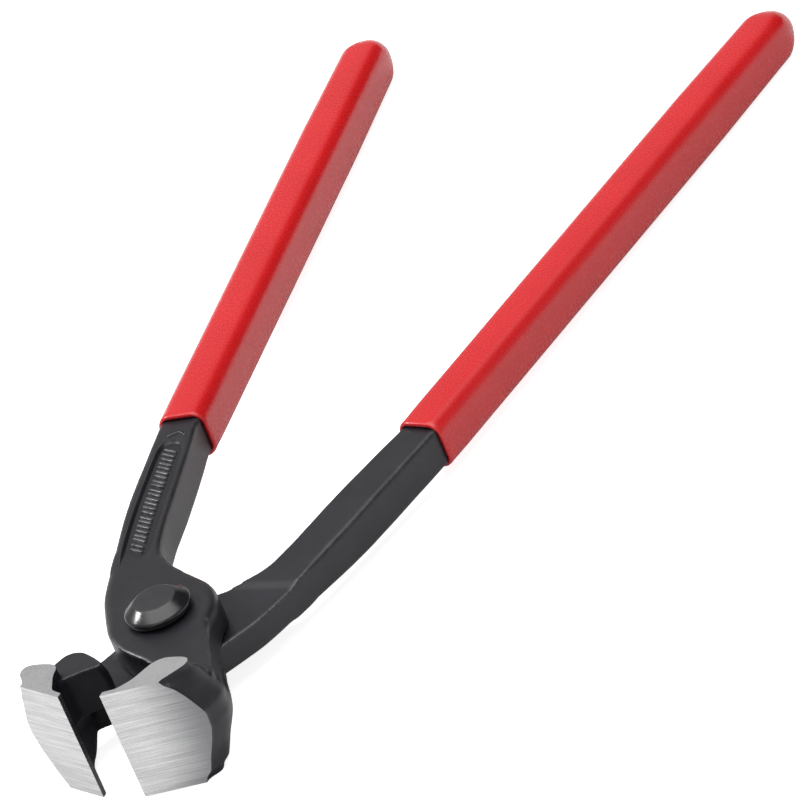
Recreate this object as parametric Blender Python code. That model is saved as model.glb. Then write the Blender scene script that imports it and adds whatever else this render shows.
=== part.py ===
"""End-nipper pliers: two flipped copies of one forging, a rivet and two dipped grips. Metres, +Z up.

The origin is the centre of the rivet head's flat face. -Y is the jaw end.
"""
import math

import bmesh
import bpy
from mathutils import Vector

MM = 0.001
HEAD_TOP = 9.8            # rivet head's flat face above the lap plane
HEAD_FLAT_R = 4.0
HEAD_RIM_R = 6.4
HEAD_RIM_Z = 8.1
SHANK_R = 4.0
BORE_R = 4.05
BOSS_TOP = 6.4            # each boss is this thick, less half the lap gap
HEAD_GAP = 0.25
LAP = 0.15                # half the gap between the two bosses
WALL_R = 15.5             # concave shoulder that clears the other boss

TIP = (4.45, -30.6)       # cutting edge of the upper lever's jaw
FACE_ANGLE = 18.5         # rise of the ground front face
TIP_LAND = 0.8

MOUTH = (-26.1, 60.7, 1.45)     # upper lever's grip mouth and grip end, centre of the section
GRIP_END = (-46.55, 192.9, 0.0)
TANG_W, TANG_T = 8.2, 7.8
GRIP_W, GRIP_T = 10.2, 10.2
GRIP_GAP = 0.25
GRIP_R = 2.4
END_WALL = 6.0
DOME = 6.5
DOME_RINGS = 7
DOME_TURN = math.radians(84)
JAW_LAYERS = 2            # curved layers between two jaw sections
MOUTH_SHIFT = 1.9         # the right grip was dipped this much further up its tang

PANEL_DEPTH = 0.5
ARM_DROP = 0.04           # slope of the arm's top beyond y = 34
TANG_CORNER = (0.9, 2.5)  # cut corners at the tang's end: across, along
MOUTH_STRAIGHT = 2.6      # straight stretch of the arm before the mouth
BOSS_RIM = 1.7            # rounding round the boss
ARM_RIM = 0.8             # rounding along the arm
RIM_START = -8.0          # the jaw root takes over below this
RIM_MIN = 0.12
RIM_FACET = 0.29          # where a rim's two facets meet, as a share of its radius

# Side outline of the arm as (y, z): underside and top.
UNDER = [(-40, LAP), (14.5, LAP), (16.5, -0.35), (28.0, -1.1), (40.0, -1.8),
         (MOUTH[1], MOUTH[2] - TANG_T / 2), (GRIP_END[1], GRIP_END[2] - TANG_T / 2)]
OVER = [(-40, BOSS_TOP), (20.0, BOSS_TOP), (34.0, BOSS_TOP - 0.1),
        (MOUTH[1], MOUTH[2] + TANG_T / 2), (GRIP_END[1], GRIP_END[2] + TANG_T / 2)]

# Upper lever seen from above, from the mouth to the jaw: the outer and the inner edge.
OUTER = [(-28.0, 50.0), (-24.3, 34.6), (-19.9, 19.3), (-16.3, 7.4), (-13.5, 1.6),
         (-9.1, -5.2), (-3.2, -10.5), (3.6, -13.9), (8.2, -17.0), (11.0, -19.0)]
INNER = [(17.0, -18.8), (19.8, -18.0), (17.6, -13.8), (14.0, -7.4), (11.4, -1.4), (9.9, 4.2),
         (6.4, 9.0), (1.2, 12.0), (-4.6, 14.9), (-9.5, 19.5), (-12.4, 26.4), (-15.3, 37.0),
         (-19.4, 51.5)]

# Jaw sections at a height: reach of the ground face on the upper and on the lower lever, then the plan
# points of the outer side, the back and the hollow. The end block, the half beside the lap with its
# post, the half under the boss, and the tapering nose above its crease are separate blocks.
END_BLOCK = [
    (-11.5, 10.8, 9.6,
     [(15.3, -25.7), (16.5, -24.1), (16.5, -22.6), (15.3, -21.4), (14.1, -21.0), (13.0, -20.9),
      (11.8, -20.9), (10.6, -21.0), (9.6, -21.5), (9.0, -22.5), (8.6, -24.6), (6.8, -28.5)]),
    (-9.25, 13.3, 10.9,
     [(17.9, -24.4), (18.9, -22.4), (18.5, -21.0), (16.2, -20.6), (14.4, -20.6), (13.0, -20.6),
      (11.8, -20.6), (10.6, -20.8), (9.6, -21.4), (9.0, -22.4), (8.6, -24.4), (6.8, -28.5)]),
]
LAP_BLOCK = [
    (-9.2, 13.3, 10.9,
     [(17.9, -24.4), (18.9, -22.4), (18.5, -21.0), (15.4, -20.2), (12.8, -18.6), (12.0, -16.2),
      (9.8, -14.4), (6.8, -15.2), (2.4, -18.3), (5.6, -20.6), (8.7, -23.6), (6.8, -28.5)]),
    (-6.4, 14.3, 11.7,
     [(18.7, -23.6), (19.3, -20.6), (18.2, -17.4), (15.2, -15.2), (12.8, -13.0), (11.2, -11.2),
      (8.4, -13.2), (5.2, -14.8), (2.0, -18.0), (5.4, -20.2), (8.5, -23.6), (6.8, -28.5)]),
    (-3.0, 15.7, 12.7,
     [(20.4, -22.8), (20.9, -20.0), (19.4, -15.8), (16.4, -11.6), (14.0, -8.0), (12.0, -9.8),
      (9.0, -12.4), (5.4, -14.6), (2.0, -18.0), (5.4, -20.2), (8.5, -23.6), (6.8, -28.5)]),
    (-0.15, 16.6, 12.8,
     [(21.5, -22.4), (21.7, -19.6), (19.8, -15.6), (16.6, -10.8), (13.9, -7.2), (12.0, -9.5),
      (9.0, -12.4), (5.4, -14.6), (2.0, -18.0), (5.4, -20.2), (8.5, -23.6), (6.8, -28.5)]),
]
BOSS_BLOCK = [
    (-0.149, 16.6, 12.8,
     [(21.5, -22.4), (21.7, -19.6), (19.6, -15.6), (16.4, -12.2), (14.0, -12.0), (12.0, -12.6),
      (10.0, -14.0), (8.4, -15.8), (6.8, -17.9), (7.8, -20.6), (8.7, -24.1), (6.8, -28.4)]),
    (1.3, 16.7, 12.5,
     [(21.4, -22.4), (21.5, -19.6), (19.8, -16.1), (16.5, -12.5), (14.0, -12.2), (12.0, -12.8),
      (10.4, -14.1), (9.4, -16.1), (8.7, -18.4), (8.9, -21.0), (8.8, -24.4), (6.8, -28.4)]),
    (3.0, 16.8, 12.1,
     [(21.4, -22.4), (21.6, -19.6), (20.2, -16.6), (16.8, -12.8), (14.0, -12.4), (12.0, -13.0),
      (10.4, -14.2), (9.4, -16.2), (8.8, -18.4), (9.0, -21.0), (8.8, -24.4), (6.8, -28.4)]),
]
NOSE_BLOCK = [
    (3.001, 16.8, 12.1,
     [(21.4, -22.4), (21.6, -19.6), (20.2, -16.6), (16.8, -12.8), (14.0, -12.4), (12.0, -13.0),
      (10.4, -14.2), (9.4, -16.2), (8.8, -18.4), (9.0, -21.0), (8.8, -24.4), (6.8, -28.4)]),
    (6.4, 15.0, 10.9,
     [(19.8, -22.8), (20.0, -20.2), (18.7, -17.4), (16.2, -16.9), (14.4, -16.9), (12.6, -17.1),
      (11.0, -17.6), (9.8, -18.4), (9.2, -19.8), (9.2, -22.0), (8.9, -25.2), (6.8, -28.4)]),
    (9.4, 12.8, 9.6,
     [(18.2, -23.8), (18.9, -21.4), (18.3, -19.2), (16.4, -18.6), (14.6, -18.6), (12.8, -18.8),
      (11.3, -19.4), (10.2, -20.4), (9.7, -21.8), (9.4, -23.6), (8.7, -26.0), (6.8, -28.5)]),
    (11.5, 9.7, 8.0,
     [(15.9, -24.6), (17.9, -21.9), (17.8, -20.7), (16.6, -20.2), (15.0, -20.2), (13.4, -20.3),
      (12.2, -20.9), (11.4, -21.9), (10.6, -23.2), (9.9, -24.6), (8.8, -26.4), (6.8, -28.6)]),
]
TRIM_FADE = (0.9, 0.75, 0.45)   # share of a shorter reach taken off each outer point
FACE_STEPS, BACK_STEPS = 4, 3

BLACK = (0.045, 0.045, 0.05, 1.0)
RED = (0.62, 0.03, 0.035, 1.0)


def clear_scene():
    for obj in list(bpy.data.objects):
        bpy.data.objects.remove(obj, do_unlink=True)


def material(name, colour, metallic, roughness):
    mat = bpy.data.materials.new(name)
    mat.use_nodes = True
    shader = mat.node_tree.nodes["Principled BSDF"]
    shader.inputs["Base Color"].default_value = colour
    shader.inputs["Metallic"].default_value = metallic
    shader.inputs["Roughness"].default_value = roughness
    return mat


def spline(points, steps):
    """Catmull-Rom curve through the points, steps per span, ends included."""
    pts = [Vector(p) for p in points]
    pts = [2 * pts[0] - pts[1]] + pts + [2 * pts[-1] - pts[-2]]
    out = []
    for a, b, c, d in zip(pts, pts[1:], pts[2:], pts[3:]):
        for i in range(steps):
            t = i / steps
            out.append(0.5 * (2 * b + (c - a) * t + (2 * a - 5 * b + 4 * c - d) * t * t
                              + (3 * b - a - 3 * c + d) * t ** 3))
    out.append(pts[-2])
    return out


def to_object(name, bm):
    bmesh.ops.recalc_face_normals(bm, faces=bm.faces)
    mesh = bpy.data.meshes.new(name)
    bm.to_mesh(mesh)
    bm.free()
    obj = bpy.data.objects.new(name, mesh)
    bpy.context.scene.collection.objects.link(obj)
    return obj


def loft(name, rings):
    """Closed body through rings of equally many points, in mm."""
    bm = bmesh.new()
    loops = [[bm.verts.new(Vector(p) * MM) for p in ring] for ring in rings]
    n = len(loops[0])
    for low, high in zip(loops, loops[1:]):
        for i in range(n):
            bm.faces.new((low[i], low[(i + 1) % n], high[(i + 1) % n], high[i]))
    bm.faces.new(list(reversed(loops[0])))
    bm.faces.new(loops[-1])
    return to_object(name, bm)


def lathe(name, profile, segments):
    """Body of revolution about Z from (radius, z) pairs."""
    turns = [2 * math.pi * i / segments for i in range(segments)]
    return loft(name, [[(r * math.cos(a), r * math.sin(a), z) for a in turns] for r, z in profile])


def apply_modifiers(obj):
    graph = bpy.context.evaluated_depsgraph_get()
    mesh = bpy.data.meshes.new_from_object(obj.evaluated_get(graph))
    obj.modifiers.clear()
    old = obj.data
    obj.data = mesh
    bpy.data.meshes.remove(old)


def boolean(obj, other, operation):
    mod = obj.modifiers.new(operation.lower(), "BOOLEAN")
    mod.operation = operation
    mod.object = other
    mod.solver = "EXACT"
    apply_modifiers(obj)
    bpy.data.objects.remove(other, do_unlink=True)


def at(y, line):
    """Height of a side outline, given as (y, z) pairs, at y."""
    for (y0, z0), (y1, z1) in zip(line, line[1:]):
        if y <= y1:
            return z0 + (z1 - z0) * (y - y0) / (y1 - y0)
    return line[-1][1]


def rims(y):
    """Rounding of the lower and of the upper rim at y."""
    if y < RIM_START:
        return RIM_MIN, RIM_MIN
    arm = min(1.0, max(0.0, (y - 12.0) / 16.0))
    root = min(1.0, (y - RIM_START) / 5.0)
    upper = max(RIM_MIN, root * (BOSS_RIM + (ARM_RIM - BOSS_RIM) * arm))
    return max(RIM_MIN, ARM_RIM * min(1.0, (y - 17.0) / 4.0)), upper


def inset(outline, amounts):
    """Move each point of a closed outline inwards by its own amount."""
    n = len(outline)
    area = sum(outline[i - 1][0] * outline[i][1] - outline[i][0] * outline[i - 1][1] for i in range(n))
    inward = 1.0 if area > 0 else -1.0
    out = []
    for i, (x, y) in enumerate(outline):
        step = Vector(outline[(i + 1) % n]) - Vector(outline[i - 1])
        step.normalize()
        out.append((x - inward * step.y * amounts[i], y + inward * step.x * amounts[i]))
    return out


def rounded_rect(width, thick, radius, steps=4):
    pts = []
    for k, (sx, sy) in enumerate(((1, 1), (-1, 1), (-1, -1), (1, -1))):
        cx, cy = sx * (width / 2 - radius), sy * (thick / 2 - radius)
        for i in range(steps + 1):
            a = math.pi / 2 * (k + i / steps)
            pts.append((cx + radius * math.cos(a), cy + radius * math.sin(a)))
    return pts


def handle_frame():
    start, end = Vector(MOUTH), Vector(GRIP_END)
    along = (end - start).normalized()
    across = along.cross(Vector((0, 0, 1))).normalized()
    return start, along, across, across.cross(along), (end - start).length


def jaw_rings(sections, lower):
    """Plan rings between the given heights, each from the tip round the outside to the hollow."""
    slope = math.radians(FACE_ANGLE)
    tracks = []
    for z, upper_reach, lower_reach, points in sections:
        reach = lower_reach if lower else upper_reach
        trim = upper_reach - reach
        corner = (TIP[0] + reach * math.cos(slope), TIP[1] + reach * math.sin(slope))
        side = [(x - trim * k, y - trim * k / 4) for (x, y), k in zip(points, TRIM_FADE)]
        tracks.append([Vector((x, y, z)) for x, y in [corner] + side + points[3:]])
    columns = [spline(column, JAW_LAYERS) for column in zip(*tracks)]
    rings = []
    for row in zip(*columns):
        outer = spline(row[:5], FACE_STEPS)
        rest = spline(row[4:], BACK_STEPS)[1:]
        z = row[0].z
        for p in outer + rest:
            p.z = z
        rings.append([(*TIP, z)] + outer + rest + [(TIP[0], TIP[1] + TIP_LAND, z)])
    return rings


def jaw_body(lower):
    return loft("jaw", [ring for block in (END_BLOCK, LAP_BLOCK, BOSS_BLOCK, NOSE_BLOCK)
                        for ring in jaw_rings(block, lower)])


def arm_plan():
    """Plan outline from the jaw root round the tang and back."""
    start, along, across, _, length = handle_frame()
    half = TANG_W / 2
    stop = length - END_WALL - GRIP_GAP
    tang_end = [(stop - TANG_CORNER[1], half), (stop, half - TANG_CORNER[0]),
                (stop, TANG_CORNER[0] - half), (stop - TANG_CORNER[1], -half)]
    right = [(-MOUTH_STRAIGHT, half), (0, half)]
    left = [(0, -half), (-MOUTH_STRAIGHT, -half)]

    def place(points):
        spots = [start + along * d + across * a for d, a in points]
        return [(p.x, p.y) for p in spots]

    outer = spline(place(left) + OUTER, 5)
    inner = spline(INNER + place(right), 5)
    return [tuple(p) for p in outer + inner] + place(tang_end)


def arm_profile():
    """Side outline: flat boss, arm that bends down to the mouth, straight tang."""
    return loft("side", [[(x, y, z) for y, z in UNDER + OVER[::-1]] for x in (-80, 60)])


def arm_body():
    """Plan outline drawn out in height, with rims rounded in two facets that the profile trims."""
    outline = arm_plan()
    low, high = zip(*[rims(y) for _, y in outline])
    under, over = [at(y, UNDER) for _, y in outline], [at(y, OVER) for _, y in outline]
    inner, outer = RIM_FACET, 2 - RIM_FACET

    def ring(radii, share, heights):
        return [(x, y, z) for (x, y), z in zip(inset(outline, [r * share for r in radii]), heights)]

    return loft("arm", [
        ring(low, outer, [-14] * len(outline)),
        ring(low, outer, [z - inner * r for z, r in zip(under, low)]),
        ring(low, inner, [z + inner * r for z, r in zip(under, low)]),
        ring(low, 0, [z + r for z, r in zip(under, low)]),
        ring(high, 0, [z - r for z, r in zip(over, high)]),
        ring(high, inner, [z - inner * r for z, r in zip(over, high)]),
        ring(high, outer, [z + inner * r for z, r in zip(over, high)]),
        ring(high, outer, [14] * len(outline))])


def lever(name, lower):
    """The forging in the upper lever's place; the lower lever is turned over afterwards."""
    body = arm_body()
    body.name = name
    boolean(body, arm_profile(), "INTERSECT")
    boolean(body, jaw_body(lower), "UNION")
    boolean(body, lathe("clearance", [(WALL_R, -13), (WALL_R, LAP)], 96), "DIFFERENCE")
    boolean(body, lathe("bore", [(BORE_R, -2), (BORE_R, 9)], 64), "DIFFERENCE")
    boolean(body, panel_cutter(), "DIFFERENCE")
    return body


def panel_cutter():
    """Long sunken panel on the arm's top, following its edge."""
    left = spline([(-26.6, 53.6), (-24.2, 42.0), (-20.5, 27.6), (-16.6, 14.4)], 4)
    right = spline([(-11.6, 17.4), (-15.6, 32.0), (-18.5, 42.5), (-21.5, 53.6)], 4)
    outline = [tuple(p) for p in left + right]
    floor = BOSS_TOP - 0.1 - PANEL_DEPTH
    bottom = [(x, y, floor - max(0.0, y - 34.0) * ARM_DROP) for x, y in outline]
    return loft("panel", [bottom, [(x, y, BOSS_TOP + 2) for x, y in outline]])


def rivet():
    under = BOSS_TOP + HEAD_GAP
    half = [(SHANK_R, 0), (SHANK_R, under), (HEAD_RIM_R, under), (HEAD_RIM_R, HEAD_RIM_Z),
            (HEAD_FLAT_R, HEAD_TOP)]
    profile = [(r, -z) for r, z in reversed(half[1:])] + half[1:]
    return lathe("pivot_rivet", profile, 64)


def grip(name, mouth_at):
    """Dipped sleeve: outside wall with a domed end, and the cavity round the tang."""
    start, along, across, up, length = handle_frame()

    def ring(width, thick, radius, distance):
        centre = start + along * distance
        return [tuple(centre + across * a + up * b) for a, b in rounded_rect(width, thick, radius)]

    outside = [ring(GRIP_W - 0.5, GRIP_T - 0.5, GRIP_R, mouth_at),
               ring(GRIP_W, GRIP_T, GRIP_R, mouth_at + 0.7),
               ring(GRIP_W, GRIP_T, GRIP_R, length * 0.75)]
    for i in range(DOME_RINGS):
        k = i / (DOME_RINGS - 1)
        a = DOME_TURN * k
        width, thick = (GRIP_W - 0.4) * math.cos(a), (GRIP_T - 0.6) * math.cos(a)
        radius = GRIP_R + (min(width, thick) / 2 - GRIP_R) * min(1.0, 2 * k)
        radius = min(radius, 0.49 * thick)
        outside.append(ring(width, thick, radius, length - DOME + DOME * math.sin(a)))
    wide, tall = TANG_W + 2 * GRIP_GAP, TANG_T + 2 * GRIP_GAP
    deep = length - END_WALL
    inside = [ring(wide - 1.6, tall, 0.7, deep), ring(wide, tall, 0.7, deep - 2.7),
              ring(wide, tall, 0.7, mouth_at)]
    bm = bmesh.new()
    loops = [[bm.verts.new(Vector(p) * MM) for p in r] for r in outside + inside]
    walls = [loops[:len(outside)], loops[len(outside):], [loops[-1], loops[0]]]
    for wall in walls:
        for low, high in zip(wall, wall[1:]):
            n = len(low)
            for k in range(n):
                bm.faces.new((low[k], low[(k + 1) % n], high[(k + 1) % n], high[k]))
    bm.faces.new(loops[len(outside) - 1])
    bm.faces.new(loops[len(outside)])
    return to_object(name, bm)


def flip(obj):
    """Turn the body over about Y: the upper lever's shape becomes the lower lever's."""
    for v in obj.data.vertices:
        v.co.x, v.co.z = -v.co.x, -v.co.z


def finish(obj, mat, angle):
    obj.location = (0, 0, -HEAD_TOP * MM)
    obj.data.materials.clear()
    obj.data.materials.append(mat)
    bpy.context.view_layer.objects.active = obj
    for other in bpy.context.selected_objects:
        other.select_set(False)
    obj.select_set(True)
    bpy.ops.object.shade_smooth()
    obj.data.set_sharp_from_angle(angle=math.radians(angle))


def main():
    clear_scene()
    black = material("black_steel", BLACK, 0.6, 0.45)
    pin = material("rivet_steel", BLACK, 0.7, 0.35)
    red = material("red_grip", RED, 0.0, 0.35)
    upper = lever("upper_lever", lower=False)
    lower = lever("lower_lever", lower=True)
    flip(lower)
    left = grip("left_grip", 0.0)
    right = grip("right_grip", -MOUTH_SHIFT)
    flip(right)
    finish(upper, black, 30)
    finish(lower, black, 30)
    finish(rivet(), pin, 30)
    finish(left, red, 35)
    finish(right, red, 35)


main()
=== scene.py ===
import math

import bmesh
import bpy
from mathutils import Matrix, Vector, noise


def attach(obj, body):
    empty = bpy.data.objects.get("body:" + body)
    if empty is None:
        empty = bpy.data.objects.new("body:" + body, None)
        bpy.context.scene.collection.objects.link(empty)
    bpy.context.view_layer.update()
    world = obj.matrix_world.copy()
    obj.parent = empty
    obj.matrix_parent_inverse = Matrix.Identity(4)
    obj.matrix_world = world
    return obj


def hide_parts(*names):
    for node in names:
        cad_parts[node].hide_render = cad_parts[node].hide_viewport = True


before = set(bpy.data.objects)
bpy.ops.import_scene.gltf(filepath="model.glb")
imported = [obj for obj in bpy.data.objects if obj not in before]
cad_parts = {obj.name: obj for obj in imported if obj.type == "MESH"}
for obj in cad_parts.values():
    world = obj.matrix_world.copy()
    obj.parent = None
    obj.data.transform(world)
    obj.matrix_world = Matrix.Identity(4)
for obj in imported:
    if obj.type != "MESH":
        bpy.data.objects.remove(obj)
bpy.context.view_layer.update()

mm = 0.001
lapHeight = -9.8 * mm  # plane between the two levers, below the rivet's flat face
print("frame loaded:", sorted(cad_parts))


def linkMesh(name, bm):
    bmesh.ops.recalc_face_normals(bm, faces=bm.faces)
    mesh = bpy.data.meshes.new(name)
    bm.to_mesh(mesh)
    bm.free()
    obj = bpy.data.objects.new(name, mesh)
    bpy.context.scene.collection.objects.link(obj)
    return obj


def bakeModifiers(obj):
    graph = bpy.context.evaluated_depsgraph_get()
    mesh = bpy.data.meshes.new_from_object(obj.evaluated_get(graph))
    obj.modifiers.clear()
    old = obj.data
    obj.data = mesh
    bpy.data.meshes.remove(old)


def smoothShade(obj, angle):
    for face in obj.data.polygons:
        face.use_smooth = True
    obj.data.set_sharp_from_angle(angle=math.radians(angle))


def loftRings(name, rings):
    # closed solid through rings of equally many points in metres
    bm = bmesh.new()
    loops = [[bm.verts.new(p) for p in ring] for ring in rings]
    count = len(loops[0])
    for low, high in zip(loops, loops[1:]):
        for i in range(count):
            bm.faces.new((low[i], low[(i + 1) % count], high[(i + 1) % count], high[i]))
    bm.faces.new(list(reversed(loops[0])))
    bm.faces.new(loops[-1])
    return linkMesh(name, bm)


def catmull(points, steps):
    # smooth curve through the points
    pts = [Vector(p) for p in points]
    pts = [2 * pts[0] - pts[1]] + pts + [2 * pts[-1] - pts[-2]]
    out = []
    for a, b, c, d in zip(pts, pts[1:], pts[2:], pts[3:]):
        for i in range(steps):
            t = i / steps
            out.append(0.5 * (2 * b + (c - a) * t + (2 * a - 5 * b + 4 * c - d) * t * t
                              + (3 * b - a - 3 * c + d) * t ** 3))
    out.append(pts[-2])
    return out


def cutWith(obj, cutter):
    # the cut faces take the cutter's material
    mod = obj.modifiers.new("cut", "BOOLEAN")
    mod.operation = "DIFFERENCE"
    mod.object = cutter
    mod.solver = "EXACT"
    mod.material_mode = "TRANSFER"
    bakeModifiers(obj)
    bpy.data.objects.remove(cutter, do_unlink=True)


def newGroup(name, inputs, outputs):
    group = bpy.data.node_groups.new(name, "ShaderNodeTree")
    for label, kind, value in inputs:
        socket = group.interface.new_socket(label, in_out="INPUT", socket_type=kind)
        if value is not None:
            socket.default_value = value
    for label, kind in outputs:
        group.interface.new_socket(label, in_out="OUTPUT", socket_type=kind)
    return group, group.nodes.new("NodeGroupInput"), group.nodes.new("NodeGroupOutput")


def noiseNode(tree, vector, scale, detail=3.0, rough=0.55):
    node = tree.nodes.new("ShaderNodeTexNoise")
    node.inputs["Detail"].default_value = detail
    node.inputs["Roughness"].default_value = rough
    tree.links.new(vector, node.inputs["Vector"])
    if isinstance(scale, (int, float)):
        node.inputs["Scale"].default_value = scale
    else:
        tree.links.new(scale, node.inputs["Scale"])
    return node.outputs["Fac"]


def mathNode(tree, operation, a, b=None, clamp=False):
    node = tree.nodes.new("ShaderNodeMath")
    node.operation = operation
    node.use_clamp = clamp
    for socket, value in zip(node.inputs, (a, b)):
        if value is None:
            continue
        if isinstance(value, (int, float)):
            socket.default_value = value
        else:
            tree.links.new(value, socket)
    return node.outputs[0]


def rampNode(tree, value, low, high, start=0.0, end=1.0):
    node = tree.nodes.new("ShaderNodeMapRange")
    node.interpolation_type = "SMOOTHSTEP"
    tree.links.new(value, node.inputs["Value"])
    for label, number in (("From Min", low), ("From Max", high), ("To Min", start), ("To Max", end)):
        if isinstance(number, (int, float)):
            node.inputs[label].default_value = number
        else:
            tree.links.new(number, node.inputs[label])
    return node.outputs["Result"]


def mixColour(tree, fac, a, b):
    node = tree.nodes.new("ShaderNodeMix")
    node.data_type = "RGBA"
    for socket, value in ((node.inputs["Factor"], fac), (node.inputs[6], a), (node.inputs[7], b)):
        if isinstance(value, (int, float, tuple)):
            socket.default_value = value
        else:
            tree.links.new(value, socket)
    return node.outputs[2]


def buildGrain():
    # grain of a finish: fine bumps, coarser ones under them, and slow mottling
    tree, source, sink = newGroup("surfaceGrain", [
        ("Vector", "NodeSocketVector", None), ("Grain Size", "NodeSocketFloat", 0.25),
        ("Mottle Size", "NodeSocketFloat", 6.0)],
        [("Height", "NodeSocketFloat"), ("Fine", "NodeSocketFloat"), ("Mottle", "NodeSocketFloat")])
    fineScale = mathNode(tree, "DIVIDE", 1 / mm, source.outputs["Grain Size"])
    slowScale = mathNode(tree, "DIVIDE", 1 / mm, source.outputs["Mottle Size"])
    fine = noiseNode(tree, source.outputs["Vector"], fineScale, 4.0, 0.6)
    coarse = noiseNode(tree, source.outputs["Vector"], mathNode(tree, "MULTIPLY", fineScale, 0.3), 3.0)
    mottle = noiseNode(tree, source.outputs["Vector"], slowScale, 4.0, 0.6)
    height = mathNode(tree, "ADD", mathNode(tree, "MULTIPLY", fine, 0.6),
                      mathNode(tree, "MULTIPLY", coarse, 0.4))
    tree.links.new(height, sink.inputs["Height"])
    tree.links.new(fine, sink.inputs["Fine"])
    tree.links.new(rampNode(tree, mottle, 0.3, 0.7), sink.inputs["Mottle"])
    return tree


def buildWear():
    # rubbed mask on outward edges, broken up so that it isn't an even line; the steel and rivet finishes
    # also use it for painted edge highlights. A second mask marks concave creases for painted shade
    tree, source, sink = newGroup("edgeWearAndShade", [
        ("Vector", "NodeSocketVector", None), ("Start", "NodeSocketFloat", 0.52),
        ("Full", "NodeSocketFloat", 0.6), ("Break Size", "NodeSocketFloat", 2.0)],
        [("Mask", "NodeSocketFloat"), ("CreaseShade", "NodeSocketFloat")])
    point = tree.nodes.new("ShaderNodeNewGeometry").outputs["Pointiness"]
    edge = rampNode(tree, point, source.outputs["Start"], source.outputs["Full"])
    breakScale = mathNode(tree, "DIVIDE", 1 / mm, source.outputs["Break Size"])
    patch = rampNode(tree, noiseNode(tree, source.outputs["Vector"], breakScale, 5.0, 0.65), 0.3, 0.62)
    tree.links.new(mathNode(tree, "MULTIPLY", edge, patch, True), sink.inputs["Mask"])
    # painted shade mask: concave creases, where pointiness is low
    tree.links.new(rampNode(tree, point, 0.49, 0.43), sink.inputs["CreaseShade"])
    return tree


def buildStreaks():
    # grinding marks: long thin lines along the vector's first axis, with a few deep ones
    tree, source, sink = newGroup("grindStreaks", [
        ("Vector", "NodeSocketVector", None), ("Line Width", "NodeSocketFloat", 0.2),
        ("Line Length", "NodeSocketFloat", 14.0)],
        [("Tone", "NodeSocketFloat"), ("Deep", "NodeSocketFloat"), ("Height", "NodeSocketFloat")])
    split = tree.nodes.new("ShaderNodeSeparateXYZ")
    tree.links.new(source.outputs["Vector"], split.inputs[0])

    def stretched(width, length):
        join = tree.nodes.new("ShaderNodeCombineXYZ")
        tree.links.new(mathNode(tree, "DIVIDE", split.outputs[0], length), join.inputs[0])
        tree.links.new(mathNode(tree, "DIVIDE", split.outputs[1], width), join.inputs[1])
        tree.links.new(mathNode(tree, "DIVIDE", split.outputs[2], width), join.inputs[2])
        return join.outputs[0]

    widthM = mathNode(tree, "MULTIPLY", source.outputs["Line Width"], mm)
    lengthM = mathNode(tree, "MULTIPLY", source.outputs["Line Length"], mm)
    lines = noiseNode(tree, stretched(widthM, lengthM), 1.0, 3.0, 0.6)
    hair = noiseNode(tree, stretched(mathNode(tree, "MULTIPLY", widthM, 0.45),
                                     mathNode(tree, "MULTIPLY", lengthM, 0.3)), 1.0, 2.0)
    broad = noiseNode(tree, stretched(mathNode(tree, "MULTIPLY", widthM, 5.0), lengthM), 1.0, 2.0)
    rare = noiseNode(tree, stretched(mathNode(tree, "MULTIPLY", widthM, 1.3),
                                     mathNode(tree, "MULTIPLY", lengthM, 1.6)), 1.0, 1.0)
    tone = mathNode(tree, "ADD", mathNode(tree, "MULTIPLY", lines, 0.45),
                    mathNode(tree, "ADD", mathNode(tree, "MULTIPLY", hair, 0.3),
                             mathNode(tree, "MULTIPLY", broad, 0.25)))
    tree.links.new(rampNode(tree, tone, 0.34, 0.66), sink.inputs["Tone"])
    tree.links.new(rampNode(tree, rare, 0.36, 0.27), sink.inputs["Deep"])
    tree.links.new(tone, sink.inputs["Height"])
    return tree


grainGroup, wearAndShadeGroup, streakGroup = buildGrain(), buildWear(), buildStreaks()


def startMaterial(name, metallic, specular=0.5, coat=0.0, coatRoughness=0.1):
    mat = bpy.data.materials.new(name)
    mat.use_nodes = True
    shader = mat.node_tree.nodes["Principled BSDF"]
    shader.inputs["Metallic"].default_value = metallic
    shader.inputs["Specular IOR Level"].default_value = specular
    shader.inputs["Coat Weight"].default_value = coat
    shader.inputs["Coat Roughness"].default_value = coatRoughness
    place = mat.node_tree.nodes.new("ShaderNodeTexCoord").outputs["Object"]
    return mat, mat.node_tree, shader, place


def useGroup(tree, group, vector, **values):
    node = tree.nodes.new("ShaderNodeGroup")
    node.node_tree = group
    tree.links.new(vector, node.inputs["Vector"])
    for label, value in values.items():
        node.inputs[label.replace("_", " ")].default_value = value
    return node


def addBump(tree, shader, height, distance, strength):
    node = tree.nodes.new("ShaderNodeBump")
    node.inputs["Distance"].default_value = distance * mm
    node.inputs["Strength"].default_value = strength
    tree.links.new(height, node.inputs["Height"])
    tree.links.new(node.outputs["Normal"], shader.inputs["Normal"])


blackFinish = {
    "dark": (0.008, 0.008, 0.0105, 1), "light": (0.013, 0.013, 0.017, 1),
    "speck": (0.035, 0.035, 0.038, 1), "speckShare": 0.35,
    # outward edges get a lighter colour: rubbed wear, partly a painted edge highlight
    "rubbedAndSheen": (0.09, 0.09, 0.095, 1), "rubbedPolish": 0.12,
    # concave creases get a darker black: painted shade
    "hollow": (0.004, 0.004, 0.005, 1), "hollowShare": 0.8,
    "wearStart": 0.506, "wearFull": 0.55, "wearBreak": 1.1,
    "grainSize": 0.22, "mottleSize": 7.0, "roughLow": 0.30, "roughHigh": 0.42,
    "bumpHeight": 0.03, "bumpStrength": 0.8,
}


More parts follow.
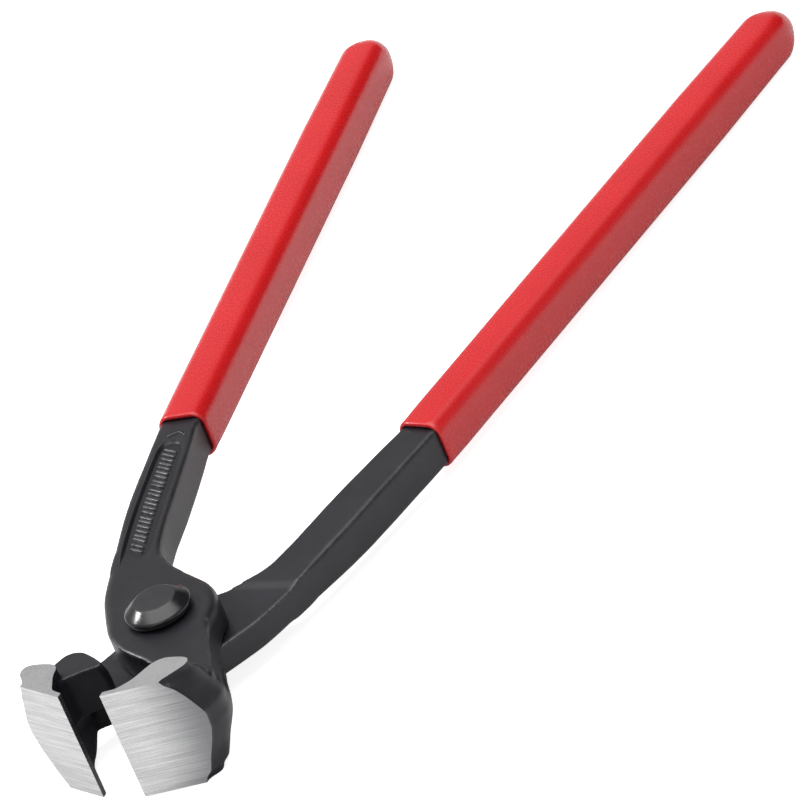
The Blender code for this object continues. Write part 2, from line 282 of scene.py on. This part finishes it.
def makeBlackFinish(name, specular, rubAndSheenShare=0.6):
    mat, tree, shader, place = startMaterial(name, 0.0, specular=specular)
    grain = useGroup(tree, grainGroup, place, Grain_Size=blackFinish["grainSize"],
                     Mottle_Size=blackFinish["mottleSize"])
    wearAndShade = useGroup(tree, wearAndShadeGroup, place, Start=blackFinish["wearStart"], Full=blackFinish["wearFull"],
                    Break_Size=blackFinish["wearBreak"])
    base = mixColour(tree, grain.outputs["Mottle"], blackFinish["dark"], blackFinish["light"])
    speck = rampNode(tree, grain.outputs["Fine"], 0.58, 0.75, 0.0, blackFinish["speckShare"])
    base = mixColour(tree, speck, base, blackFinish["speck"])
    # lighter outward edges: rubbed wear, partly a painted edge highlight
    base = mixColour(tree, mathNode(tree, "MULTIPLY", wearAndShade.outputs["Mask"], rubAndSheenShare), base,
                     blackFinish["rubbedAndSheen"])
    # painted shade darkens the concave creases
    hollow = mathNode(tree, "MULTIPLY", wearAndShade.outputs["CreaseShade"], blackFinish["hollowShare"])
    base = mixColour(tree, hollow, base, blackFinish["hollow"])
    tree.links.new(base, shader.inputs["Base Color"])
    rough = rampNode(tree, grain.outputs["Fine"], 0.3, 0.7, blackFinish["roughLow"],
                     blackFinish["roughHigh"])
    polish = mathNode(tree, "MULTIPLY", wearAndShade.outputs["Mask"], blackFinish["rubbedPolish"])
    rough = mathNode(tree, "SUBTRACT", rough, polish)
    tree.links.new(rough, shader.inputs["Roughness"])
    addBump(tree, shader, grain.outputs["Height"], blackFinish["bumpHeight"], blackFinish["bumpStrength"])
    return mat


groundFinish = {
    "dark": (0.46, 0.46, 0.46, 1), "light": (0.80, 0.80, 0.79, 1), "deep": (0.2, 0.2, 0.2, 1),
    # the next colour is painted shade, darker towards the face's outer side, between the two distances in
    # mm
    "faceShade": (0.2, 0.2, 0.21, 1), "faceShadeFrom": -2.0, "faceShadeTo": 12.0,
    "faceAngle": 18.5,         # degrees the jaw faces are swept back, in plan
    "lineWidth": 0.1, "faceLine": 15.0, "endLine": 0.8,
    "grainSize": 0.3, "mottleSize": 9.0, "streakShare": 0.6, "grainShare": 0.4,
    "roughLow": 0.3, "roughHigh": 0.42, "bumpHeight": 0.02, "bumpStrength": 0.5,
}


def makeGroundFinish(name, turned, lineLength, deepShare, mottleShare, shadeShare):
    mat, tree, shader, place = startMaterial(name, 1.0)
    mapping = tree.nodes.new("ShaderNodeMapping")
    mapping.vector_type = "POINT"
    side = 1 if turned else -1
    mapping.inputs["Rotation"].default_value = (0, 0, math.radians(side * groundFinish["faceAngle"]))
    tree.links.new(place, mapping.inputs["Vector"])
    streaks = useGroup(tree, streakGroup, mapping.outputs["Vector"],
                       Line_Width=groundFinish["lineWidth"], Line_Length=lineLength)
    grain = useGroup(tree, grainGroup, place, Grain_Size=groundFinish["grainSize"],
                     Mottle_Size=groundFinish["mottleSize"])
    tone = mathNode(tree, "ADD",
                    mathNode(tree, "MULTIPLY", streaks.outputs["Tone"], groundFinish["streakShare"]),
                    mathNode(tree, "MULTIPLY", grain.outputs["Fine"], groundFinish["grainShare"]))
    tone = mathNode(tree, "ADD", tone, mathNode(tree, "MULTIPLY", grain.outputs["Mottle"], mottleShare))
    base = mixColour(tree, rampNode(tree, tone, 0.1, 0.95), groundFinish["dark"], groundFinish["light"])
    base = mixColour(tree, mathNode(tree, "MULTIPLY", streaks.outputs["Deep"], deepShare), base,
                     groundFinish["deep"])
    split = tree.nodes.new("ShaderNodeSeparateXYZ")
    tree.links.new(mapping.outputs["Vector"], split.inputs[0])
    # painted shade: the ground face darkens towards its outer side
    reach = mathNode(tree, "MULTIPLY", split.outputs[0], -side / mm)
    outerShade = rampNode(tree, reach, groundFinish["faceShadeFrom"], groundFinish["faceShadeTo"])
    base = mixColour(tree, mathNode(tree, "MULTIPLY", outerShade, shadeShare), base, groundFinish["faceShade"])
    tree.links.new(base, shader.inputs["Base Color"])
    rough = rampNode(tree, tone, 0.2, 0.8, groundFinish["roughHigh"], groundFinish["roughLow"])
    tree.links.new(rough, shader.inputs["Roughness"])
    addBump(tree, shader, streaks.outputs["Height"], groundFinish["bumpHeight"],
            groundFinish["bumpStrength"])
    return mat


rivetFinish = {
    "dark": (0.008, 0.008, 0.009, 1), "light": (0.014, 0.014, 0.016, 1),
    # rim edges get a lighter colour: rubbed wear, partly a painted bright rim line
    "rubbedAndSheen": (0.14, 0.14, 0.145, 1), "rubbedAndSheenShare": 0.7,
    "wearStart": 0.53, "wearFull": 0.62, "wearBreak": 1.2,
    "grainSize": 0.16, "mottleSize": 3.0, "roughLow": 0.15, "grainRough": 0.08,
    "flatRough": 0.27,         # the flat faces are left as forged
    "bumpHeight": 0.02, "bumpStrength": 0.7,
}


def makeRivetFinish():
    mat, tree, shader, place = startMaterial("polishedBlackRivet", 0.0, specular=0.6)
    grain = useGroup(tree, grainGroup, place, Grain_Size=rivetFinish["grainSize"],
                     Mottle_Size=rivetFinish["mottleSize"])
    wearAndShade = useGroup(tree, wearAndShadeGroup, place, Start=rivetFinish["wearStart"], Full=rivetFinish["wearFull"],
                    Break_Size=rivetFinish["wearBreak"])
    base = mixColour(tree, grain.outputs["Mottle"], rivetFinish["dark"], rivetFinish["light"])
    # lighter rim edges: rubbed wear, partly a painted bright rim line
    base = mixColour(tree, mathNode(tree, "MULTIPLY", wearAndShade.outputs["Mask"], rivetFinish["rubbedAndSheenShare"]),
                     base, rivetFinish["rubbedAndSheen"])
    tree.links.new(base, shader.inputs["Base Color"])
    up = tree.nodes.new("ShaderNodeSeparateXYZ")
    tree.links.new(tree.nodes.new("ShaderNodeNewGeometry").outputs["Normal"], up.inputs[0])
    flat = rampNode(tree, mathNode(tree, "ABSOLUTE", up.outputs[2]), 0.9, 0.995)
    rough = mathNode(tree, "ADD", mathNode(tree, "MULTIPLY", flat, rivetFinish["flatRough"]),
                     rivetFinish["roughLow"])
    rough = mathNode(tree, "ADD", rough,
                     mathNode(tree, "MULTIPLY", grain.outputs["Fine"], rivetFinish["grainRough"]))
    tree.links.new(rough, shader.inputs["Roughness"])
    addBump(tree, shader, grain.outputs["Height"], rivetFinish["bumpHeight"], rivetFinish["bumpStrength"])
    return mat


gripFinish = {
    "deep": (0.53, 0.008, 0.010, 1), "bright": (0.57, 0.010, 0.013, 1),
    "scuffed": (0.72, 0.06, 0.06, 1), "scuffedShare": 0.3,
    "wearStart": 0.53, "wearFull": 0.62, "wearBreak": 2.5,
    "grainSize": 0.5, "mottleSize": 14.0, "roughLow": 0.25, "roughHigh": 0.29,
    "bumpHeight": 0.02, "bumpStrength": 0.12,
}


def makeGripFinish():
    mat, tree, shader, place = startMaterial("redDippedVinyl", 0.0, specular=0.5, coat=0.15,
                                             coatRoughness=0.12)
    grain = useGroup(tree, grainGroup, place, Grain_Size=gripFinish["grainSize"],
                     Mottle_Size=gripFinish["mottleSize"])
    wearAndShade = useGroup(tree, wearAndShadeGroup, place, Start=gripFinish["wearStart"], Full=gripFinish["wearFull"],
                    Break_Size=gripFinish["wearBreak"])
    base = mixColour(tree, grain.outputs["Mottle"], gripFinish["deep"], gripFinish["bright"])
    base = mixColour(tree, mathNode(tree, "MULTIPLY", wearAndShade.outputs["Mask"], gripFinish["scuffedShare"]),
                     base, gripFinish["scuffed"])
    tree.links.new(base, shader.inputs["Base Color"])
    rough = rampNode(tree, grain.outputs["Fine"], 0.3, 0.7, gripFinish["roughLow"],
                     gripFinish["roughHigh"])
    tree.links.new(rough, shader.inputs["Roughness"])
    addBump(tree, shader, grain.outputs["Height"], gripFinish["bumpHeight"], gripFinish["bumpStrength"])
    return mat


blackOxide = makeBlackFinish("blackOxideSteel", 0.5)
blackHollow = makeBlackFinish("blackOxideHollow", 0.12, 0.2)  # inside of the jaws, duller
blackLand = makeBlackFinish("blackOxideLand", 0.9, 0.3)
# the ribs take the full lighter edge colour: rubbed wear and a painted highlight
blackBars = makeBlackFinish("blackOxideBars", 0.5, 1.0)
# the upper lever's face has painted shade, darker towards its outer side
groundUpper = makeGroundFinish("groundFaceUpper", False, groundFinish["faceLine"], 0.85, 0.02, 0.95)
groundLower = makeGroundFinish("groundFaceLower", True, groundFinish["faceLine"], 0.85, 0.06, 0.0)
groundEndUpper = makeGroundFinish("groundEndUpper", False, groundFinish["endLine"], 0.1, 0.55, 0.0)
groundEndLower = makeGroundFinish("groundEndLower", True, groundFinish["endLine"], 0.1, 0.55, 0.0)
rivetBlack = makeRivetFinish()
gripRed = makeGripFinish()
print("materials made")


# lengths in mm, in the upper lever's place with the lap plane at zero height
lever = {
    "tip": (4.45, -30.6),      # cutting edge
    "endHeight": 11.5,         # ground ends above and below the lap plane
    "stock": 1.6,              # forging left on the ground faces before they're cut
    "landStock": 0.9,          # the same at the narrow land behind the cutting edge
    "faceReach": 0.35, "endReach": 0.05, "landReach": 0.15,  # how far off a vertex still counts
    "faceUpTo": -12.0, "landUpTo": -29.0,
    "weld": 0.002,
    "voxel": 0.34, "smoothing": 7, "shrink": 0.5,
    "keep": 0.55,              # share of faces kept after smoothing
    "tangCut": 76.0,           # the tang stops inside the grip
    "hollowUpTo": -13.0, "hollowWithin": 13.0,
    "beyond": 20,              # cutting blocks reach past the lever by this height
    "sharpAngle": 32,
}


def faceAxes():
    # directions along the upper lever's ground face and out of it
    slope = math.radians(groundFinish["faceAngle"])
    along = Vector((math.cos(slope), math.sin(slope), 0))
    return along, Vector((along.y, -along.x, 0))


def blockAt(name, corner, sideA, sideB, low, high, mat):
    # block from a corner along two plan sides, between two heights
    start = Vector((*corner, 0)) * mm
    plan = [start, start + sideA * mm, start + (sideA + sideB) * mm, start + sideB * mm]
    obj = loftRings(name, [[(p.x, p.y, z * mm) for p in plan] for z in (low, high)])
    obj.data.materials.append(mat)
    return obj


panel = {
    "left": [(-26.5, 52.6), (-24.1, 42.0), (-20.4, 27.6), (-16.5, 14.6)],
    "foot": [(-15.9, 13.6), (-14.6, 13.4), (-12.6, 15.0)],
    "right": [(-11.5, 17.6), (-15.4, 32.0), (-18.3, 42.5), (-21.2, 52.4)],
    "head": [(-21.6, 53.5), (-22.6, 54.2), (-24.6, 54.5), (-26.1, 53.8)],
    "curveSteps": 40, "points": 96, "easing": 4,
    "top": 6.4, "topSlopeFrom": 20.0,                # the arm's top face falls from here
    "shoulder": 34.0, "shoulderTop": 6.3, "mouth": 60.7, "mouthTop": 5.35,
    "depth": 0.55, "rampFrom": 13.4, "rampTo": 20.0,
    "walls": ((-0.45, 0.0), (-0.1, 0.3), (0.15, 0.62), (0.6, 2.5)),  # outwards, upwards
}


def armTop(y):
    # height of the arm's top face above the lap plane, in mm
    if y < panel["shoulder"]:
        drop = max(0.0, y - panel["topSlopeFrom"]) / (panel["shoulder"] - panel["topSlopeFrom"])
        return panel["top"] + (panel["shoulderTop"] - panel["top"]) * drop
    drop = (y - panel["shoulder"]) / (panel["mouth"] - panel["shoulder"])
    return panel["shoulderTop"] + (panel["mouthTop"] - panel["shoulderTop"]) * drop


def panelFloor(y):
    ramp = min(1.0, max(0.0, (y - panel["rampFrom"]) / (panel["rampTo"] - panel["rampFrom"])))
    return armTop(y) - panel["depth"] * ramp * ramp * (3 - 2 * ramp)


def panelOutline():
    # closed outline, evenly spaced and eased at the corners
    corners = panel["left"] + panel["foot"] + panel["right"] + panel["head"]
    steps = panel["curveSteps"]
    fine = catmull([corners[-1]] + corners + corners[:2], steps)[steps:-steps - 1]
    spans = [(fine[i] - fine[i - 1]).length for i in range(len(fine))]
    step = sum(spans) / panel["points"]
    even, walked = [], 0.0
    for p, span in zip(fine, spans):
        walked += span
        if walked >= step:
            walked -= step
            even.append(p.copy())
    count = len(even)
    for _ in range(panel["easing"]):
        even = [even[i] * 0.5 + (even[i - 1] + even[(i + 1) % count]) * 0.25 for i in range(count)]
    return even


def grownOutline(outline, amount):
    count = len(outline)
    area = sum(outline[i - 1].cross(outline[i]) for i in range(count))
    out = []
    for i, p in enumerate(outline):
        step = (outline[(i + 1) % count] - outline[i - 1]).normalized()
        side = Vector((step.y, -step.x)) * (1 if area > 0 else -1)
        out.append(p + side * amount)
    return out


def panelCutter():
    # long sunken panel on the arm, with drafted walls and a foot that runs out into the boss
    outline = panelOutline()
    count = len(outline)
    bm = bmesh.new()
    loops = []
    for amount, rise in panel["walls"]:
        loops.append([bm.verts.new((p.x * mm, p.y * mm, (panelFloor(p.y) + rise) * mm))
                      for p in grownOutline(outline, amount)])
    for low, high in zip(loops, loops[1:]):
        for i in range(count):
            bm.faces.new((low[i], low[(i + 1) % count], high[(i + 1) % count], high[i]))
    bm.faces.new(loops[-1])
    floorFace = bm.faces.new(list(reversed(loops[0])))
    bmesh.ops.triangulate(bm, faces=[floorFace])
    obj = linkMesh("panelCutter", bm)
    obj.data.materials.append(blackOxide)
    return obj


def addStock(mesh):
    # thicker where it will be ground, flat where the panel is cut again, shorter in the grip
    outward = faceAxes()[1]
    tip = Vector((*lever["tip"], 0)) * mm
    bm = bmesh.new()
    bm.from_mesh(mesh)
    bmesh.ops.remove_doubles(bm, verts=bm.verts, dist=lever["weld"] * mm)
    for vert in bm.verts:
        y, z = vert.co.y / mm, vert.co.z / mm
        if 13 < y < 55 and 0.4 < armTop(y) - z < 0.75:  # on the panel's floor
            vert.co.z = armTop(y) * mm
        if vert.co.x < tip.x + lever["landReach"] * mm and vert.co.y < lever["landUpTo"] * mm:
            vert.co.x -= lever["landStock"] * mm
        offFace = abs((vert.co - tip).dot(outward))
        onFace = offFace < lever["faceReach"] * mm and vert.co.y < lever["faceUpTo"] * mm
        onEnd = abs(abs(vert.co.z) - lever["endHeight"] * mm) < lever["endReach"] * mm
        if onFace:
            vert.co += outward * lever["stock"] * mm
        if onEnd:
            vert.co.z += math.copysign(lever["stock"] * mm, vert.co.z)
    cut = bmesh.ops.bisect_plane(bm, geom=bm.verts[:] + bm.edges[:] + bm.faces[:], clear_outer=True,
                                 plane_co=(0, lever["tangCut"] * mm, 0), plane_no=(0, 1, 0))
    rim = [part for part in cut["geom_cut"] if isinstance(part, bmesh.types.BMEdge)]
    bmesh.ops.edgeloop_fill(bm, edges=rim)
    bm.to_mesh(mesh)
    bm.free()


def softenForging(obj):
    remesh = obj.modifiers.new("skin", "REMESH")
    remesh.mode = "VOXEL"
    remesh.voxel_size = lever["voxel"] * mm
    soften = obj.modifiers.new("soften", "SMOOTH")
    soften.factor = lever["shrink"]
    soften.iterations = lever["smoothing"]
    thin = obj.modifiers.new("thin", "DECIMATE")
    thin.ratio = lever["keep"]
    bakeModifiers(obj)


def grindToSize(obj, faceMat, endMat):
    along, outward = faceAxes()
    across, back, ahead = Vector((1, 0, 0)), Vector((0, -1, 0)), Vector((0, 1, 0))
    tip, beyond = Vector(lever["tip"]), lever["beyond"]
    faceCorner = tuple(tip - along.xy * 12)
    cutWith(obj, blockAt("faceCutter", faceCorner, along * 45, outward * 20, -beyond, beyond, faceMat))
    for low, high in ((lever["endHeight"], beyond), (-beyond, -lever["endHeight"])):
        cutWith(obj, blockAt("endCutter", (-10, 4), across * 50, back * 60, low, high, endMat))
    landCorner = (tip.x, -45)
    cutWith(obj, blockAt("landCutter", landCorner, across * -20, ahead * 19, -beyond, beyond, blackLand))


def paintHollow(obj):
    # the inside of the jaw is duller
    slots = list(obj.data.materials)
    for face in obj.data.polygons:
        inJaw = face.center.y < lever["hollowUpTo"] * mm and face.center.x < lever["hollowWithin"] * mm
        upright = abs(face.normal.z) < 0.8 and face.normal.x < 0.3
        if slots[face.material_index] == blackOxide and inJaw and upright:
            face.material_index = slots.index(blackHollow)


def forgedLever(node, name, turned, faceMat, endMat):
    # stock on the ground faces, softened as a forging, then ground back to size
    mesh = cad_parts[node].data.copy()
    mesh.name = name
    obj = bpy.data.objects.new(name, mesh)
    bpy.context.scene.collection.objects.link(obj)
    toUpper = Matrix.Rotation(math.pi, 4, "Y") if turned else Matrix.Identity(4)
    mesh.transform(toUpper @ Matrix.Translation((0, 0, -lapHeight)))
    mesh.materials.clear()
    for mat in (blackOxide, faceMat, endMat, blackHollow, blackLand):
        mesh.materials.append(mat)
    addStock(mesh)
    softenForging(obj)
    grindToSize(obj, faceMat, endMat)
    cutWith(obj, panelCutter())
    paintHollow(obj)
    obj.data.transform(Matrix.Translation((0, 0, lapHeight)) @ toUpper.inverted())
    smoothShade(obj, lever["sharpAngle"])
    print(name, len(obj.data.polygons), "faces")
    return obj


upperForging = forgedLever("upper_lever", "upperForging", False, groundUpper, groundEndUpper)
lowerForging = forgedLever("lower_lever", "lowerForging", True, groundLower, groundEndLower)


bars = {
    "from": 19.5, "to": 51.0, "count": 23, "slant": (1.0, -0.33),
    "length": 3.5, "width": 0.7, "height": 0.42, "sunk": 0.15,
    "crown": ((0.0, 1.0), (0.55, 0.92), (0.88, 0.7), (1.0, 0.35)),  # share of height, share of width
    "endSteps": 6, "sharpAngle": 50,
    "arc": [(-25.9, 55.4), (-25.3, 56.2), (-24.3, 56.6), (-23.2, 56.4), (-22.6, 55.9)],
    "arcAt": 56.4, "arcWidth": 0.6, "arcHeight": 0.62, "arcSunk": 0.3, "arcOverlap": 0.7,
}


def roundedBar(bm, centre, direction, length, width, base, height):
    # low raised bar with rounded ends and a crowned top
    side = Vector((-direction.y, direction.x))
    spine = []
    for level, shrink in bars["crown"]:
        ring = []
        for end in (1, -1):
            for i in range(bars["endSteps"] + 1):
                a = math.pi * (i / bars["endSteps"] - 0.5)
                along = end * ((length - width) / 2 + math.cos(a) * width / 2 * shrink)
                off = end * math.sin(a) * width / 2 * shrink
                p = centre + direction * along + side * off
                ring.append(bm.verts.new((p.x * mm, p.y * mm, (base + height * level) * mm)))
        spine.append(ring)
    count = len(spine[0])
    for low, high in zip(spine, spine[1:]):
        for i in range(count):
            bm.faces.new((low[i], low[(i + 1) % count], high[(i + 1) % count], high[i]))
    bm.faces.new(list(reversed(spine[0])))
    bm.faces.new(spine[-1])


def buildPanelBars():
    # plain raised ribs in the panel, and a short arc past its head
    bm = bmesh.new()
    left, right = catmull(panel["left"], 24), catmull(panel["right"], 24)
    direction = Vector(bars["slant"]).normalized()
    for i in range(bars["count"]):
        y = bars["from"] + (bars["to"] - bars["from"]) * i / (bars["count"] - 1)
        a = min(left, key=lambda p: abs(p.y - y))
        b = min(right, key=lambda p: abs(p.y - y))
        base = panelFloor(y) - bars["sunk"] + lapHeight / mm
        roundedBar(bm, (a + b) / 2, direction, bars["length"], bars["width"], base,
                   bars["height"] + bars["sunk"])
    arc = catmull(bars["arc"], 5)
    base = armTop(bars["arcAt"]) - bars["arcSunk"] + lapHeight / mm
    for a, b in zip(arc, arc[1:]):
        roundedBar(bm, (a + b) / 2, (b - a).normalized(), (b - a).length + bars["arcOverlap"],
                   bars["arcWidth"], base, bars["arcHeight"])
    obj = linkMesh("panelBars", bm)
    obj.data.materials.append(blackBars)
    smoothShade(obj, bars["sharpAngle"])
    return obj


panelBars = buildPanelBars()
print("levers made")


rivet = {
    # radius and height above the lap plane: flat face, chamfer, rolled rim, underside, shank
    "profile": [(2.0, 9.8), (3.75, 9.8), (4.05, 9.74), (4.3, 9.6), (5.3, 8.92), (6.05, 8.38),
                (6.32, 8.14), (6.4, 7.9), (6.38, 7.5), (6.3, 7.15), (6.05, 6.85), (5.6, 6.68),
                (4.6, 6.65), (4.0, 6.65), (4.0, 5.8)],
    "segments": 96, "sharpAngle": 50,
}


def buildRivet():
    half = rivet["profile"]
    full = half + [(r, -z) for r, z in reversed(half)]
    turns = [2 * math.pi * i / rivet["segments"] for i in range(rivet["segments"])]
    rings = [[(r * mm * math.cos(a), r * mm * math.sin(a), z * mm + lapHeight) for a in turns]
             for r, z in full]
    obj = loftRings("rivetPin", rings)
    obj.data.materials.append(rivetBlack)
    smoothShade(obj, rivet["sharpAngle"])
    return obj


rivetPin = buildRivet()


grip = {
    "mouth": (-26.1, 60.7, 1.45), "end": (-46.55, 192.9, 0.0),
    "width": 10.2, "thick": 10.2, "corner": 3.0, "cornerSteps": 7,
    "shift": 1.9,              # the right one reaches this much nearer the rivet
    # each row: off the width and thickness, corner radius, distance from the mouth
    "inside": ((2.0, 1.4, 16.0), (2.0, 1.4, 8.0), (2.0, 1.4, 1.2), (2.0, 1.4, 0.35), (1.7, 1.6, 0.05)),
    "lip": ((0.85, 2.7, 0.0), (0.42, 2.9, 0.08), (0.16, 3.0, 0.3), (0.06, 3.0, 0.7), (0.1, 3.0, 1.6)),
    "bodyFrom": 3.0, "rings": 44, "wave": 0.05, "waveAcross": 0.12, "waveAlong": 0.05,
    "slim": 0.45, "slimFrom": 0.75, "slimOver": 0.2,     # thinner towards the end
    "dome": 6.5, "domeRings": 12, "domeTurn": 0.965, "domeRounding": 1.6,
    "seedLeft": 1.7, "seedRight": 6.3, "sharpAngle": 60,
}


def gripFrame():
    start, end = Vector(grip["mouth"]), Vector(grip["end"])
    along = (end - start).normalized()
    across = along.cross(Vector((0, 0, 1))).normalized()
    return start, along, across, across.cross(along), (end - start).length


def roundedSection(width, thick, radius):
    pts = []
    steps = grip["cornerSteps"]
    for k, (sx, sy) in enumerate(((1, 1), (-1, 1), (-1, -1), (1, -1))):
        for i in range(steps + 1):
            a = math.pi / 2 * (k + i / steps)
            pts.append((sx * (width / 2 - radius) + radius * math.cos(a),
                        sy * (thick / 2 - radius) + radius * math.sin(a)))
    return pts


def buildGrip(name, mouthAt, turned, seed):
    # dipped sleeve: inside wall, rolled lip, slightly wavy body and a domed end
    start, along, across, up, length = gripFrame()
    width, thick, corner, slim, dome = (grip[key] for key in ("width", "thick", "corner", "slim", "dome"))

    def ring(w, t, radius, distance, wobble=0.0):
        centre = start + along * distance
        out = []
        for a, b in roundedSection(w, t, min(radius, 0.499 * min(w, t))):
            place = Vector((a * grip["waveAcross"], b * grip["waveAcross"],
                            distance * grip["waveAlong"] + seed))
            swell = wobble * noise.noise(place)
            p = centre + across * a * (1 - abs(swell) * 0.1) + up * b * (1 - abs(swell) * 0.1)
            out.append(tuple(p * mm))
        return out

    rings = [ring(width - off, thick - off, radius, mouthAt + d)
             for off, radius, d in grip["inside"] + grip["lip"]]
    bodyAt = mouthAt + grip["bodyFrom"]
    for i in range(1, grip["rings"]):
        d = bodyAt + (length - dome - bodyAt) * i / grip["rings"]
        thinner = slim * max(0.0, (d / length - grip["slimFrom"]) / grip["slimOver"])
        rings.append(ring(width - thinner, thick - thinner, corner, d, grip["wave"]))
    for i in range(grip["domeRings"]):
        share = i / (grip["domeRings"] - 1)
        turn = math.pi / 2 * share * grip["domeTurn"]
        w, t = (width - slim) * math.cos(turn), (thick - slim) * math.cos(turn)
        radius = corner + (0.499 * min(w, t) - corner) * min(1.0, grip["domeRounding"] * share)
        rings.append(ring(w, t, radius, length - dome + dome * math.sin(turn)))
    obj = loftRings(name, rings)
    toPlace = Matrix.Rotation(math.pi, 4, "Y") if turned else Matrix.Identity(4)
    obj.data.transform(Matrix.Translation((0, 0, lapHeight)) @ toPlace)
    obj.data.materials.append(gripRed)
    smoothShade(obj, grip["sharpAngle"])
    return obj


leftSleeve = buildGrip("leftSleeve", 0.0, False, grip["seedLeft"])
rightSleeve = buildGrip("rightSleeve", -grip["shift"], True, grip["seedRight"])
print("grips made")

for piece, body, node, slotName in (
        (upperForging, "upper_half", "upper_lever", "black_steel"),
        (lowerForging, "lower_half", "lower_lever", "black_steel"),
        (rivetPin, "lower_half", "pivot_rivet", "rivet_steel"),
        (leftSleeve, "upper_half", "left_grip", "red_grip"),
        (rightSleeve, "lower_half", "right_grip", "red_grip")):
    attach(piece, body)
    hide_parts(node)
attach(panelBars, "upper_half")


studio = {
    # the pliers lie on the jaw ends and the grip ends, so the floor leans a little
    "floorHeight": -21.35 * mm, "floorTilt": 1.73, "floorAt": -22 * mm, "floorSize": 3.0,
    "floorTone": (0.72, 0.72, 0.72, 1), "floorMottle": (0.69, 0.69, 0.69, 1), "floorGlow": 0.85,
    "zenith": (3.0, 3.0, 3.03, 1), "horizon": (0.42, 0.42, 0.43, 1),
    "skyFrom": 0.74, "skyTo": 0.93,
    # a dark flag behind the handles gives the dark band along the grips
    "flagTone": (0.03, 0.03, 0.03, 1), "flagTowards": (0.36, 0.83, 0.43),
    "flagFrom": 0.80, "flagTo": 0.93,
    "lightCentre": (0, 60 * mm, 0),
}


def buildFloor():
    bm = bmesh.new()
    bmesh.ops.create_grid(bm, x_segments=24, y_segments=24, size=studio["floorSize"])
    obj = linkMesh("floor", bm)
    obj.location = (0, studio["floorAt"], studio["floorHeight"])
    obj.rotation_euler = (math.radians(studio["floorTilt"]), 0, 0)
    mat, tree, shader, place = startMaterial("paleFloor", 0.0, specular=0.2)
    grain = useGroup(tree, grainGroup, place, Grain_Size=1.5, Mottle_Size=200.0)
    tone = mixColour(tree, mathNode(tree, "MULTIPLY", grain.outputs["Mottle"], 0.3),
                     studio["floorTone"], studio["floorMottle"])
    tree.links.new(tone, shader.inputs["Base Color"])
    shader.inputs["Roughness"].default_value = 0.8
    shader.inputs["Emission Color"].default_value = (1, 1, 1, 1)
    seen = tree.nodes.new("ShaderNodeLightPath").outputs["Is Camera Ray"]
    glow = mathNode(tree, "MULTIPLY", seen, studio["floorGlow"])
    tree.links.new(glow, shader.inputs["Emission Strength"])
    obj.data.materials.append(mat)


def buildWorld():
    world = bpy.data.worlds.new("studio")
    bpy.context.scene.world = world
    world.use_nodes = True
    tree = world.node_tree
    background = tree.nodes["Background"]
    aim = tree.nodes.new("ShaderNodeTexCoord").outputs["Generated"]
    dot = tree.nodes.new("ShaderNodeVectorMath")
    dot.operation = "DOT_PRODUCT"
    tree.links.new(aim, dot.inputs[0])
    dot.inputs[1].default_value = Vector(studio["flagTowards"]).normalized()
    flag = rampNode(tree, dot.outputs["Value"], studio["flagFrom"], studio["flagTo"])
    height = tree.nodes.new("ShaderNodeSeparateXYZ")
    tree.links.new(aim, height.inputs[0])
    climb = rampNode(tree, height.outputs[2], studio["skyFrom"], studio["skyTo"])
    sky = mixColour(tree, climb, studio["horizon"], studio["zenith"])
    tree.links.new(mixColour(tree, flag, sky, studio["flagTone"]), background.inputs["Color"])


def addSoftbox(name, towards, distance, width, height, power):
    data = bpy.data.lights.new(name, "AREA")
    data.shape = "RECTANGLE"
    data.size, data.size_y, data.energy = width, height, power
    obj = bpy.data.objects.new(name, data)
    bpy.context.scene.collection.objects.link(obj)
    direction = Vector(towards).normalized()
    obj.location = direction * distance + Vector(studio["lightCentre"])
    obj.rotation_euler = (-direction).to_track_quat("-Z", "Y").to_euler()


buildFloor()
buildWorld()
addSoftbox("rivetStrip", (-0.756, -0.066, 0.647), 1.0, 0.28, 0.14, 5.0)
addSoftbox("frontFill", (0.3, -0.9, 0.55), 1.5, 0.8, 0.6, 1.5)

view = {
    "sensor": 36, "lens": 357.873, "clipEnd": 50,
    "location": (0.78286, -0.95901, 0.7277), "angles": (58.0629, 19.7817, 24.772),
}
cameraData = bpy.data.cameras.new("camera")
cameraData.sensor_width = view["sensor"]
cameraData.lens = view["lens"]
cameraData.clip_end = view["clipEnd"]
camera = bpy.data.objects.new("camera", cameraData)
bpy.context.scene.collection.objects.link(camera)
camera.location = view["location"]
camera.rotation_euler = [math.radians(a) for a in view["angles"]]
bpy.context.scene.camera = camera
bpy.context.scene.view_settings.view_transform = "Standard"

print("scene ready")
